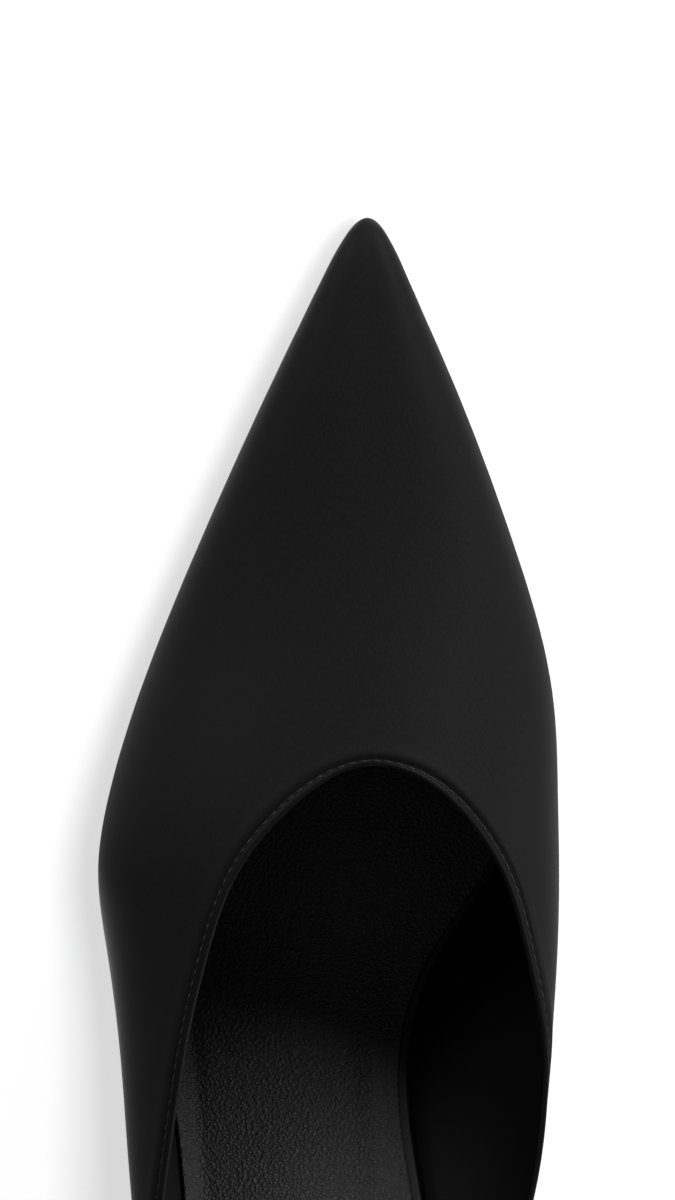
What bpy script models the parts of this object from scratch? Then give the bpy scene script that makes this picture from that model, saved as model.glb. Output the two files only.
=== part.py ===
"""Left wedge mule: a pointed cloth upper on a full wedge heel, at its real size in metres.

+Y points to the toe, +X to the inner side of the foot and +Z up. The origin lies on the floor under
the middle of the shoe. A station is a distance behind the tip of the toe, as seen from above. The
lateral side is the outer side of the foot, at -X, and the medial side is the inner one, at +X.
"""

import math
from collections import namedtuple

import bmesh
import bpy
import numpy as np

MM = 0.001

# Driving sizes of the shoe, in millimetres
SHOE_LENGTH = 248.0
BALL_WIDTH = 80.0
INSTEP_HEIGHT = 43.0
HEEL_RISE = 56.7
TOE_SPRING = 6.0
TOE_SPRING_LENGTH = 80.0

# Thicknesses and clearances, in millimetres
UPPER_WALL = 1.6
OUTSOLE_THICKNESS = 2.5
INSOLE_THICKNESS = 2.5
SOCK_THICKNESS = 1.4
SEAT_GAP = 0.3
SIDE_GAP = 0.5

# Share of a section's half that lies above its widest point
WIDEST_SHARE = 0.7

# Outline of the sole at the feather edge, where the upper meets it. Stations are in percent of
# the length, places across in percent of half the ball width.
SoleRow = namedtuple("SoleRow", "station lateral medial")
SOLE_ROWS = (
    SoleRow(0.0, 17.1, 17.1),
    SoleRow(1.75, 7.5, 25.8),
    SoleRow(6.0, -4.5, 36.0),
    SoleRow(13.0, -23.5, 53.0),
    SoleRow(23.5, -51.8, 75.8),
    SoleRow(34.0, -76.8, 91.0),
    SoleRow(41.0, -88.8, 89.5),
    SoleRow(46.0, -92.0, 78.8),
    SoleRow(51.5, -87.5, 56.0),
    SoleRow(58.5, -77.5, 40.8),
    SoleRow(65.5, -70.0, 42.8),
    SoleRow(75.0, -65.5, 52.8),
    SoleRow(82.7, -62.5, 58.0),
    SoleRow(89.0, -60.0, 60.0),
    SoleRow(95.0, -52.3, 52.0),
    SoleRow(98.4, -33.0, 32.8),
    SoleRow(100.0, 0.0, 0.0),
)

# Bottom of the last behind the ball, in percent of the heel's rise.
RiseRow = namedtuple("RiseRow", "station rise")
RISE_ROWS = (
    RiseRow(45.2, 0.0),
    RiseRow(50.4, 1.6),
    RiseRow(55.2, 8.5),
    RiseRow(60.5, 21.2),
    RiseRow(68.5, 44.1),
    RiseRow(76.6, 65.3),
    RiseRow(84.7, 82.0),
    RiseRow(92.7, 93.5),
    RiseRow(100.0, 100.0),
)

# Sections of the last: its widest places, the height of its ridge in percent of the instep, and how far
# up from the sole to the ridge, in percent, each side is widest.
LastRow = namedtuple("LastRow", "station lateral medial ridge lateral_up medial_up")
LAST_ROWS = (
    LastRow(0.0, 17.1, 17.1, 27.2, 42.0, 42.0),
    LastRow(1.75, 5.5, 27.5, 38.0, 40.0, 40.0),
    LastRow(6.0, -8.0, 39.4, 46.3, 35.0, 35.0),
    LastRow(13.0, -28.8, 58.1, 56.0, 34.0, 34.0),
    LastRow(23.5, -57.9, 81.9, 69.8, 36.0, 36.0),
    LastRow(34.0, -83.5, 98.0, 89.8, 37.0, 38.0),
    LastRow(41.0, -96.0, 99.8, 104.6, 39.0, 41.0),
    LastRow(46.0, -100.0, 100.0, 112.8, 40.0, 47.0),
    LastRow(51.5, -96.0, 98.8, 121.4, 39.0, 56.0),
    LastRow(58.5, -90.0, 95.2, 131.4, 37.5, 69.0),
    LastRow(65.5, -86.2, 90.9, 138.4, 33.5, 66.0),
    LastRow(69.0, -84.1, 86.5, 141.9, 32.0, 61.5),
    LastRow(75.0, -79.5, 76.8, 144.2, 28.0, 50.0),
    LastRow(82.7, -65.5, 62.0, 144.2, 18.0, 20.0),
)

# Topline as drawn on the last, from the throat back to the tips of the two wings: places across in
# percent of half the ball width, heights in percent of the instep.
ToplineRow = namedtuple("ToplineRow", "station lateral lateral_height medial medial_height")
TOPLINE_ROWS = (
    ToplineRow(38.3, 19.3, 100.0, 19.3, 100.0),
    ToplineRow(40.1, -7.6, 101.2, 47.9, 99.9),
    ToplineRow(42.0, -20.8, 102.3, 60.2, 99.4),
    ToplineRow(44.0, -31.8, 103.6, 69.9, 98.9),
    ToplineRow(46.4, -41.3, 105.0, 78.7, 98.7),
    ToplineRow(51.6, -53.3, 108.4, 88.3, 100.7),
    ToplineRow(56.0, -60.7, 110.7, 92.8, 103.7),
    ToplineRow(61.0, -66.5, 112.8, 94.4, 107.0),
    ToplineRow(69.0, -72.5, 115.7, 86.5, 112.6),
    ToplineRow(75.0, -72.5, 116.7, 76.8, 115.3),
    ToplineRow(82.7, -65.0, 112.3, 61.5, 112.3),
)

# The wedge starts where it is still thin, tapers downward and is undercut at the back.
WEDGE_FRONT = 122.0
WEDGE_TAPER = 0.10
WEDGE_UNDERCUT = 8.0
WEDGE_HOLLOW = 1.2

# The outsole stands out a little past the feather edge and has its lower edge broken.
OUTSOLE_FRONT = 0.8
OUTSOLE_MARGIN = 0.3
OUTSOLE_CHAMFER = 0.6

# The insole lies inside the upper's wall, and past the wings it fills the whole seat.
INSOLE_FRONT = 7.0
SEAT_START = 205.8
SEAT_FULL = 211.0

# The sock is crowned along its middle, curls up at its lateral edge and stops short of the toe.
SOCK_FRONT = 14.0
SOCK_LATERAL_EDGE = 0.3
SOCK_MEDIAL_EDGE = 1.8
SOCK_SEAT_EDGE = 1.4
SOCK_CROWN = 0.9
SOCK_LIP = 1.5
SOCK_LIP_WIDTH = 0.16
SOCK_LIP_START = 125.0
SOCK_LIP_FULL = 145.0
SOCK_LIP_FADE = 180.0
SOCK_LIP_END = 205.0

# Width of the sock under which its crown fades out, as it does toward both of its ends
SOCK_FLAT_WIDTH = 2.0
SOCK_CROWNED_WIDTH = 20.0

# Faces round the upper, up its wall, along and across the soles and up the wedge
UPPER_RIBS = 76
UPPER_BANDS = 15
SOLE_RINGS = 44
SOCK_FACES_ACROSS = 10
WEDGE_RINGS = 30
WEDGE_BANDS = 4

# How the bands crowd toward the feather edge, on the wings and at the round of the toe
WING_CROWDING = 1.15
TOE_CROWDING = 2.0

# Turning angle left at the back of the heel, in radians, and the angle past which an edge is sharp
HEEL_END_ANGLE = 0.05
SHARP_ANGLE = math.radians(40.0)


def cubic(knots, values, level_start=False):
    """Smooth curve through the values, with free ends or a level start, as a function of the knot."""
    knots = np.array(knots, float)
    values = np.array(values, float)
    steps = np.diff(knots)
    slopes = np.diff(values) / steps
    count = len(knots)
    system = np.zeros((count, count))
    right = np.zeros(count)
    system[0, 0] = 1.0
    system[-1, -1] = 1.0
    if level_start:
        system[0, 0] = 2.0 * steps[0]
        system[0, 1] = steps[0]
        right[0] = 6.0 * slopes[0]
    for row in range(1, count - 1):
        system[row, row - 1] = steps[row - 1]
        system[row, row] = 2.0 * (steps[row - 1] + steps[row])
        system[row, row + 1] = steps[row]
        right[row] = 6.0 * (slopes[row] - slopes[row - 1])
    bends = np.linalg.solve(system, right)

    def curve(knot):
        span = int(np.clip(np.searchsorted(knots, knot) - 1, 0, count - 2))
        step = steps[span]
        ahead = (knots[span + 1] - knot) / step
        behind = (knot - knots[span]) / step
        straight = ahead * values[span] + behind * values[span + 1]
        bent = (ahead ** 3 - ahead) * bends[span] + (behind ** 3 - behind) * bends[span + 1]
        return float(straight + bent * step ** 2 / 6.0)

    return curve


def turn(station):
    """Angle that runs evenly round both ends of the shoe, so that outlines close roundly there."""
    return math.acos(max(-1.0, min(1.0, 1.0 - 2.0 * station / SHOE_LENGTH)))


def station_at(angle):
    return SHOE_LENGTH / 2.0 * (1.0 - math.cos(angle))


def from_percent(percent, whole):
    return percent / 100.0 * whole


def table_curve(rows, column, whole):
    """One column of a table as a curve along the shoe."""
    angles = [turn(from_percent(row.station, SHOE_LENGTH)) for row in rows]
    values = [from_percent(getattr(row, column), whole) for row in rows]
    along = cubic(angles, values)
    return lambda station: along(turn(station))


HALF_BALL = BALL_WIDTH / 2.0
THROAT = from_percent(TOPLINE_ROWS[0].station, SHOE_LENGTH)
WING_TIP = from_percent(TOPLINE_ROWS[-1].station, SHOE_LENGTH)
TIP_ACROSS = from_percent(LAST_ROWS[0].lateral, HALF_BALL)
THROAT_ACROSS = from_percent(TOPLINE_ROWS[0].lateral, HALF_BALL)

feather = {side: table_curve(SOLE_ROWS, side, HALF_BALL) for side in ("lateral", "medial")}
widest = {side: table_curve(LAST_ROWS, side, HALF_BALL) for side in ("lateral", "medial")}
widest_up = {side: table_curve(LAST_ROWS, side + "_up", 1.0) for side in ("lateral", "medial")}
ridge_height = table_curve(LAST_ROWS, "ridge", INSTEP_HEIGHT)

rise_behind_ball = cubic(
    [from_percent(row.station, SHOE_LENGTH) for row in RISE_ROWS],
    [from_percent(row.rise, HEEL_RISE) for row in RISE_ROWS],
    level_start=True,
)
RISE_START = from_percent(RISE_ROWS[0].station, SHOE_LENGTH)


def topline_curve(column, whole):
    """One column of the topline, which leaves the throat like a root and so turns round there."""
    roots = [math.sqrt(from_percent(row.station, SHOE_LENGTH) - THROAT) for row in TOPLINE_ROWS]
    values = [from_percent(getattr(row, column), whole) for row in TOPLINE_ROWS]
    along = cubic(roots, values)
    return lambda station: along(math.sqrt(max(0.0, station - THROAT)))


topline_across = {side: topline_curve(side, HALF_BALL) for side in ("lateral", "medial")}
topline_height = {side: topline_curve(side + "_height", INSTEP_HEIGHT) for side in ("lateral", "medial")}


def place(station, across, height):
    """Point of the shoe in metres."""
    return (across * MM, (SHOE_LENGTH / 2.0 - station) * MM, height * MM)


def smooth_step(value, start, end):
    share = max(0.0, min(1.0, (value - start) / (end - start)))
    return share * share * (3.0 - 2.0 * share)


def tread_height(station):
    """Underside of the outsole: flat on the floor, lifted toward the toe."""
    ahead = max(0.0, TOE_SPRING_LENGTH - station) / TOE_SPRING_LENGTH
    return TOE_SPRING * ahead * ahead


def rise(station):
    if station <= RISE_START:
        return 0.0
    return rise_behind_ball(station)


def base_height(station):
    """Bottom of the last, where the upper and the insole stand."""
    return tread_height(station) + OUTSOLE_THICKNESS + SEAT_GAP + rise(station)


def ridge_across(station):
    return TIP_ACROSS + (THROAT_ACROSS - TIP_ACROSS) * station / THROAT


def last_section(station, side, share):
    """Place across and height on the last: share runs from 0 at its ridge to 1 at the feather edge."""
    base = base_height(station)
    ridge = ridge_height(station)
    middle = ridge_across(station)
    wide = widest[side](station)
    wide_height = base + widest_up[side](station) * (ridge - base)
    if share <= WIDEST_SHARE:
        angle = share / WIDEST_SHARE * math.pi / 2.0
        across = middle + (wide - middle) * math.sin(angle)
        return across, wide_height + (ridge - wide_height) * math.cos(angle)
    down = (share - WIDEST_SHARE) / (1.0 - WIDEST_SHARE)
    across = wide - (wide - feather[side](station)) * down * down
    return across, wide_height - (wide_height - base) * down


def topline_share(station, side):
    """Share at which the last's section comes closest to the drawn topline."""
    if station <= THROAT:
        return 0.0
    wanted = (topline_across[side](station), topline_height[side](station))

    def miss(share):
        return math.dist(last_section(station, side, share), wanted)

    tries = 200
    best = min(range(tries + 1), key=lambda index: miss(index / tries))
    low = max(0.0, (best - 1) / tries)
    high = min(1.0, (best + 1) / tries)
    while high - low > 1e-6:
        third = (high - low) / 3.0
        if miss(low + third) < miss(high - third):
            high -= third
        else:
            low += third
    return (low + high) / 2.0


def half_width(station, side):
    return abs(widest[side](station) - ridge_across(station))


class Rib:
    """Line up the upper's outer face, from the feather edge to the topline.

    Toward runs from 0 at the tip of a wing to 1 at the middle of the toe, where the line follows the
    ridge to the throat. Lines are straight on the last laid flat: station by distance from the ridge.
    """

    def __init__(self, side, toward):
        self.side = side
        self.foot = WING_TIP * (1.0 - math.sin(toward * math.pi / 2.0))
        self.head = THROAT + (WING_TIP - THROAT) * (1.0 - toward) ** 2
        self.foot_out = half_width(self.foot, side)
        self.head_out = half_width(self.head, side) * topline_share(self.head, side)
        self.crowding = WING_CROWDING + (TOE_CROWDING - WING_CROWDING) * toward ** 4

    def point(self, up):
        if up == 0.0:
            return place(self.foot, *last_section(self.foot, self.side, 1.0))
        along = up ** self.crowding
        station = self.foot + (self.head - self.foot) * along
        out = self.foot_out + (self.head_out - self.foot_out) * along
        share = min(1.0, out / half_width(station, self.side))
        return place(station, *last_section(station, self.side, share))


def make_material(name, colour, roughness):
    material = bpy.data.materials.new(name)
    material.use_nodes = True
    shader = material.node_tree.nodes["Principled BSDF"]
    shader.inputs["Base Color"].default_value = (*colour, 1.0)
    shader.inputs["Roughness"].default_value = roughness
    shader.inputs["Metallic"].default_value = 0.0
    return material


def finish_object(name, shape, collection, material):
    """Object of the given mesh, with smooth faces and sharp edges."""
    mesh = bpy.data.meshes.new(name)
    bmesh.ops.recalc_face_normals(shape, faces=shape.faces[:])
    shape.to_mesh(mesh)
    shape.free()
    mesh.shade_smooth()
    mesh.set_sharp_from_angle(angle=SHARP_ANGLE)
    mesh.materials.append(material)
    made = bpy.data.objects.new(name, mesh)
    collection.objects.link(made)
    return made


def loft(rings):
    """Closed mesh through rings of equal numbers of points, flat at both ends."""
    shape = bmesh.new()
    loops = [[shape.verts.new(point) for point in ring] for ring in rings]
    count = len(rings[0])
    for near, far in zip(loops, loops[1:]):
        for index in range(count):
            after = (index + 1) % count
            shape.faces.new((near[index], near[after], far[after], far[index]))
    shape.faces.new(loops[0])
    shape.faces.new(loops[-1])
    return shape


def stations_between(start, end, count):
    """Stations spread evenly in the turning angle, close together where the outline closes."""
    first = turn(start)
    last = turn(end)
    return [station_at(first + (last - first) * index / (count - 1)) for index in range(count)]


HEEL_END = station_at(math.pi - HEEL_END_ANGLE)


def build_upper(collection, material):
    """Upper: one wall over the vamp and both wings, open at the throat, the back and underneath."""
    shape = bmesh.new()
    bmesh.ops.create_grid(shape, x_segments=UPPER_RIBS, y_segments=UPPER_BANDS, size=0.5)
    ribs = {}
    for vert in shape.verts:
        round_shoe = 0.5 - vert.co.x
        up = min(1.0, max(0.0, vert.co.y + 0.5))
        step = round(round_shoe * UPPER_RIBS)
        if step not in ribs:
            side = "lateral" if 2 * step <= UPPER_RIBS else "medial"
            ribs[step] = Rib(side, 1.0 - abs(2.0 * step / UPPER_RIBS - 1.0))
        vert.co = ribs[step].point(0.0 if up < 1e-6 else up)
    mesh = bpy.data.meshes.new("upper")
    shape.to_mesh(mesh)
    shape.free()
    mesh.shade_smooth()
    mesh.materials.append(material)
    upper = bpy.data.objects.new("upper", mesh)
    collection.objects.link(upper)
    wall = upper.modifiers.new("Wall", "SOLIDIFY")
    wall.thickness = UPPER_WALL * MM
    wall.offset = -1.0
    wall.use_even_offset = True


def wedge_foot(station):
    """Where the sole's outline at a station comes down to on the outsole: station, lateral, medial."""
    lateral = feather["lateral"](station)
    medial = feather["medial"](station)
    behind = max(0.0, station - WEDGE_FRONT)
    middle = (lateral + medial) / 2.0
    narrow = 1.0 - WEDGE_TAPER * rise(station) / HEEL_RISE
    forward = WEDGE_UNDERCUT * (behind / (SHOE_LENGTH - WEDGE_FRONT)) ** 2
    return station - forward, middle + (lateral - middle) * narrow, middle + (medial - middle) * narrow


def build_outsole(collection, material):
    """Outsole: one thin sole from toe to heel, under the wedge too."""
    rings = []
    for station in stations_between(OUTSOLE_FRONT, HEEL_END, SOLE_RINGS):
        foot, lateral, medial = wedge_foot(station)
        left = lateral - OUTSOLE_MARGIN
        right = medial + OUTSOLE_MARGIN
        edge = min(OUTSOLE_CHAMFER, (right - left) / 4.0)
        low = tread_height(foot)
        top = low + OUTSOLE_THICKNESS
        rings.append([
            place(foot, left, top),
            place(foot, left, low + OUTSOLE_CHAMFER),
            place(foot, left + edge, low),
            place(foot, right - edge, low),
            place(foot, right, low + OUTSOLE_CHAMFER),
            place(foot, right, top),
        ])
    finish_object("outsole", loft(rings), collection, material)


def build_wedge(collection, material):
    """Wedge heel: between outsole and insole, thin behind the ball and tall at the back."""
    rings = []
    low = OUTSOLE_THICKNESS + SEAT_GAP
    for station in stations_between(WEDGE_FRONT, HEEL_END, WEDGE_RINGS):
        foot, low_lateral, low_medial = wedge_foot(station)
        high_lateral = feather["lateral"](station)
        high_medial = feather["medial"](station)
        top = base_height(station) - SEAT_GAP
        hollow = min(WEDGE_HOLLOW * rise(station) / HEEL_RISE, (high_medial - high_lateral) / 8.0)
        left = []
        right = []
        for band in range(WEDGE_BANDS + 1):
            down = band / WEDGE_BANDS
            at = station + (foot - station) * down
            height = top + (low - top) * down
            sunk = hollow * math.sin(down * math.pi)
            left.append(place(at, high_lateral + (low_lateral - high_lateral) * down + sunk, height))
            right.append(place(at, high_medial + (low_medial - high_medial) * down - sunk, height))
        rings.append(left + right[::-1])
    finish_object("wedge_heel", loft(rings), collection, material)


def insole_edges(station):
    """Lateral and medial edge of the insole: inside the upper's wall, out to the full seat at the heel."""
    wall = UPPER_WALL + SIDE_GAP
    inset = wall * (1.0 - smooth_step(station, SEAT_START, SEAT_FULL))
    return feather["lateral"](station) + inset, feather["medial"](station) - inset


def build_insole(collection, material):
    """Insole: the board that the upper is lasted to."""
    rings = []
    for station in stations_between(INSOLE_FRONT, HEEL_END, SOLE_RINGS):
        left, right = insole_edges(station)
        base = base_height(station)
        rings.append([
            place(station, left, base + INSOLE_THICKNESS),
            place(station, left, base),
            place(station, right, base),
            place(station, right, base + INSOLE_THICKNESS),
        ])
    finish_object("insole", loft(rings), collection, material)


def sock_lift(station, share):
    """Height of the sock's face over its edge: crowned, with the lateral edge curled up at the waist."""
    crown = SOCK_CROWN * math.sin(share * math.pi) ** 2
    curl = max(0.0, 1.0 - share / SOCK_LIP_WIDTH)
    waist = smooth_step(station, SOCK_LIP_START, SOCK_LIP_FULL)
    waist -= smooth_step(station, SOCK_LIP_FADE, SOCK_LIP_END)
    return crown + SOCK_LIP * waist * curl * curl


def build_sock(collection, material):
    """Sock: padded leather glued on the insole, the face that the foot stands on."""
    rings = []
    for station in stations_between(SOCK_FRONT, HEEL_END - SOCK_SEAT_EDGE, SOLE_RINGS):
        left, right = insole_edges(station)
        seat = smooth_step(station, SEAT_START, SEAT_FULL)
        widest_edge = (right - left) / 4.0
        left += min(SOCK_LATERAL_EDGE + (SOCK_SEAT_EDGE - SOCK_LATERAL_EDGE) * seat, widest_edge)
        right -= min(SOCK_MEDIAL_EDGE + (SOCK_SEAT_EDGE - SOCK_MEDIAL_EDGE) * seat, widest_edge)
        low = base_height(station) + INSOLE_THICKNESS + SEAT_GAP
        fade = smooth_step(right - left, SOCK_FLAT_WIDTH, SOCK_CROWNED_WIDTH)
        top = []
        for index in range(SOCK_FACES_ACROSS + 1):
            share = index / SOCK_FACES_ACROSS
            lift = SOCK_THICKNESS + fade * sock_lift(station, share)
            top.append(place(station, left + (right - left) * share, low + lift))
        rings.append(top + [place(station, right, low), place(station, left, low)])
    finish_object("sock", loft(rings), collection, material)


def build_mule():
    for old in list(bpy.data.objects):
        bpy.data.objects.remove(old, do_unlink=True)
    collection = bpy.data.collections.new("wedge_mule")
    bpy.context.scene.collection.children.link(collection)
    cloth = make_material("black_satin", (0.012, 0.012, 0.013), 0.45)
    cover = make_material("black_satin_cover", (0.012, 0.012, 0.013), 0.45)
    leather = make_material("black_sock_leather", (0.016, 0.016, 0.017), 0.40)
    board = make_material("black_board", (0.014, 0.014, 0.014), 0.60)
    sole = make_material("sole_leather", (0.30, 0.19, 0.11), 0.50)
    build_outsole(collection, sole)
    build_wedge(collection, cover)
    build_insole(collection, board)
    build_sock(collection, leather)
    build_upper(collection, cloth)


build_mule()
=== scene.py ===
"""Looks of the left wedge mule: black satin over a wedge, with a black leather sock inside.

Lengths in the pieces' sections are millimetres and turn to metres where points are laid. A station is a
distance behind the tip of the toe. The lateral side of the foot lies at -X and the medial side at +X.
"""

import math
from collections import namedtuple

import bpy
import numpy as np
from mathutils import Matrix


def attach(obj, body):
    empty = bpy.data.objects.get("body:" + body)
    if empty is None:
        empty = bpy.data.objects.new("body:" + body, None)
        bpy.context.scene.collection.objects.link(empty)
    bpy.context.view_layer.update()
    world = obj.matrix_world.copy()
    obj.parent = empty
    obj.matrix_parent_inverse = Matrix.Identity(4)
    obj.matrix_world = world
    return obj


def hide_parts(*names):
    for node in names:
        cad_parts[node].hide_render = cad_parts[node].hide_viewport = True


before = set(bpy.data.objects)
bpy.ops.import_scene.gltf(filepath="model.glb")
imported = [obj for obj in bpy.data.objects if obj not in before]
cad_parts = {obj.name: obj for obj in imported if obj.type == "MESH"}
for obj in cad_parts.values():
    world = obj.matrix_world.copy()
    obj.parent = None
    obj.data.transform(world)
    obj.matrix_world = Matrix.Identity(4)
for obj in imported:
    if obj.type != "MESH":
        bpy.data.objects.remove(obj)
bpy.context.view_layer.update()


# Insole: the stiff board that the upper is lasted over, wrapped in thin smooth black leather.
# Its rim shows as a narrow strip beside the sock and as a soft edge round the heel seat.
MM = 0.001
SHOE_LENGTH = 248.0
HALF_BALL = 40.0
HEEL_RISE = 56.7
TOE_SPRING = 6.0
TOE_SPRING_LENGTH = 80.0
UPPER_WALL = 1.6
OUTSOLE_THICKNESS = 2.5
INSOLE_THICKNESS = 2.5
SEAT_GAP = 0.3
SIDE_GAP = 0.5
INSOLE_FRONT = 7.0
SKIVE_START = 188.0
SKIVE_LEFT = 0.3
SEAT_START = 205.2
SEAT_FULL = 209.0
HEEL_END_ANGLE = 0.004
INSOLE_RINGS = 150
INSOLE_ACROSS = 24
INSOLE_ROUND = 0.7
INSOLE_LOW_ROUND = 0.2
ROUNDING_STEPS = 4
MERGE_DISTANCE = 1e-4
SMOOTH_ANGLE = 50.0

SoleRow = namedtuple("SoleRow", "station lateral medial")
SOLE_ROWS = (
    SoleRow(0.0, 17.1, 17.1),
    SoleRow(1.75, 7.5, 25.8),
    SoleRow(6.0, -4.5, 36.0),
    SoleRow(13.0, -23.5, 53.0),
    SoleRow(23.5, -51.8, 75.8),
    SoleRow(34.0, -76.8, 91.0),
    SoleRow(41.0, -88.8, 89.5),
    SoleRow(46.0, -92.0, 78.8),
    SoleRow(51.5, -87.5, 56.0),
    SoleRow(58.5, -77.5, 40.8),
    SoleRow(65.5, -70.0, 42.8),
    SoleRow(75.0, -65.5, 52.8),
    SoleRow(82.7, -62.5, 58.0),
    SoleRow(89.0, -60.0, 60.0),
    SoleRow(95.0, -52.3, 52.0),
    SoleRow(98.4, -33.0, 32.8),
    SoleRow(100.0, 0.0, 0.0),
)
RiseRow = namedtuple("RiseRow", "station rise")
RISE_ROWS = (
    RiseRow(45.2, 0.0),
    RiseRow(50.4, 1.6),
    RiseRow(55.2, 8.5),
    RiseRow(60.5, 21.2),
    RiseRow(68.5, 44.1),
    RiseRow(76.6, 65.3),
    RiseRow(84.7, 82.0),
    RiseRow(92.7, 93.5),
    RiseRow(100.0, 100.0),
)


def cubic(knots, values, level_start=False):
    """Smooth curve through the values, with free ends or a level start, for arrays of knots."""
    knots = np.array(knots, float)
    values = np.array(values, float)
    steps = np.diff(knots)
    slopes = np.diff(values) / steps
    count = len(knots)
    system = np.eye(count)
    right = np.zeros(count)
    if level_start:
        system[0, :2] = 2.0 * steps[0], steps[0]
        right[0] = 6.0 * slopes[0]
    for row in range(1, count - 1):
        before, after = steps[row - 1], steps[row]
        system[row, row - 1:row + 2] = before, 2.0 * (before + after), after
        right[row] = 6.0 * (slopes[row] - slopes[row - 1])
    bends = np.linalg.solve(system, right)

    def curve(knot):
        span = np.clip(np.searchsorted(knots, knot) - 1, 0, count - 2)
        step = steps[span]
        ahead = (knots[span + 1] - knot) / step
        behind = (knot - knots[span]) / step
        straight = ahead * values[span] + behind * values[span + 1]
        bent = (ahead ** 3 - ahead) * bends[span] + (behind ** 3 - behind) * bends[span + 1]
        return straight + bent * step ** 2 / 6.0

    return curve


def turn(station):
    """Angle that runs evenly round both ends of the shoe, so that outlines close roundly there."""
    return np.arccos(np.clip(1.0 - 2.0 * np.asarray(station) / SHOE_LENGTH, -1.0, 1.0))


def station_at(angle):
    return SHOE_LENGTH / 2.0 * (1.0 - np.cos(angle))


def table_curve(rows, column, whole):
    """One column of a table, in percent of a whole, as a curve along the shoe."""
    angles = [float(turn(row.station / 100.0 * SHOE_LENGTH)) for row in rows]
    along = cubic(angles, [getattr(row, column) / 100.0 * whole for row in rows])
    return lambda station: along(turn(station))


feather_lateral = table_curve(SOLE_ROWS, "lateral", HALF_BALL)
feather_medial = table_curve(SOLE_ROWS, "medial", HALF_BALL)
RISE_START = RISE_ROWS[0].station / 100.0 * SHOE_LENGTH
rise_behind_ball = cubic(
    [row.station / 100.0 * SHOE_LENGTH for row in RISE_ROWS],
    [row.rise / 100.0 * HEEL_RISE for row in RISE_ROWS],
    level_start=True,
)


def smooth_step(value, start, end):
    share = np.clip((value - start) / (end - start), 0.0, 1.0)
    return share * share * (3.0 - 2.0 * share)


def tread_height(station):
    """Underside of the outsole: flat on the floor, lifted toward the toe."""
    ahead = np.maximum(0.0, TOE_SPRING_LENGTH - station) / TOE_SPRING_LENGTH
    return TOE_SPRING * ahead * ahead


def rise(station):
    return np.where(station <= RISE_START, 0.0, rise_behind_ball(np.maximum(station, RISE_START)))


def base_height(station):
    """Bottom of the last, where the upper and the insole stand."""
    return tread_height(station) + OUTSOLE_THICKNESS + SEAT_GAP + rise(station)


def stations_between(start, end, count):
    """Column of stations, close together where the outline closes."""
    return station_at(np.linspace(turn(start), turn(end), count))[:, None]


def wall_share(station):
    """Share of its thickness that the upper's wall keeps: it is skived thin toward the ends of its wings."""
    return 1.0 - (1.0 - SKIVE_LEFT) * smooth_step(station, SKIVE_START, SEAT_START)


def insole_edges(station):
    """Lateral and medial edge of the insole: inside the upper's wall, out to the full seat at the heel."""
    behind_wall = UPPER_WALL * wall_share(station) + SIDE_GAP
    inset = behind_wall * (1.0 - smooth_step(station, SEAT_START, SEAT_FULL))
    return feather_lateral(station) + inset, feather_medial(station) - inset


def plate_rings(station, left, right, low, top, round_top, round_low, across, lift=None):
    """Rings of a flat piece with rounded edges: the face across, down one side, back under and up.

    Along a rounding, gone is how far it has left its first line and to_go how far it is from its second.
    """
    room = np.minimum((right - left) / 4.0, (top - low) / 2.0)
    upper_round = np.minimum(round_top, room)
    lower_round = np.minimum(round_low, room)
    quarter = np.linspace(0.0, math.pi / 2.0, ROUNDING_STEPS + 1)[None, 1:]
    gone = 1.0 - np.cos(quarter)
    to_go = 1.0 - np.sin(quarter)
    share = np.linspace(0.0, 1.0, across + 1)[None, :]
    face = left + upper_round + (right - left - 2.0 * upper_round) * share
    raised = top + np.zeros_like(face)
    if lift is not None:
        raised = raised + lift(station, face, (face - left) / (right - left))
    under = right - lower_round - (right - left - 2.0 * lower_round) * share
    places = (
        (face, raised),
        (right - upper_round * to_go, raised[:, -1:] - upper_round * gone),
        (right - lower_round * gone, low + lower_round * to_go),
        (under[:, 1:], low + np.zeros_like(under[:, 1:])),
        (left + lower_round * to_go, low + lower_round * gone),
        (left + upper_round * gone[:, :-1], raised[:, :1] - upper_round * to_go[:, :-1]),
    )
    wide = np.concatenate([place[0] for place in places], axis=1)
    high = np.concatenate([place[1] for place in places], axis=1)
    along = SHOE_LENGTH / 2.0 - station + np.zeros_like(wide)
    return np.stack([wide, along, high], axis=2) * MM


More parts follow.
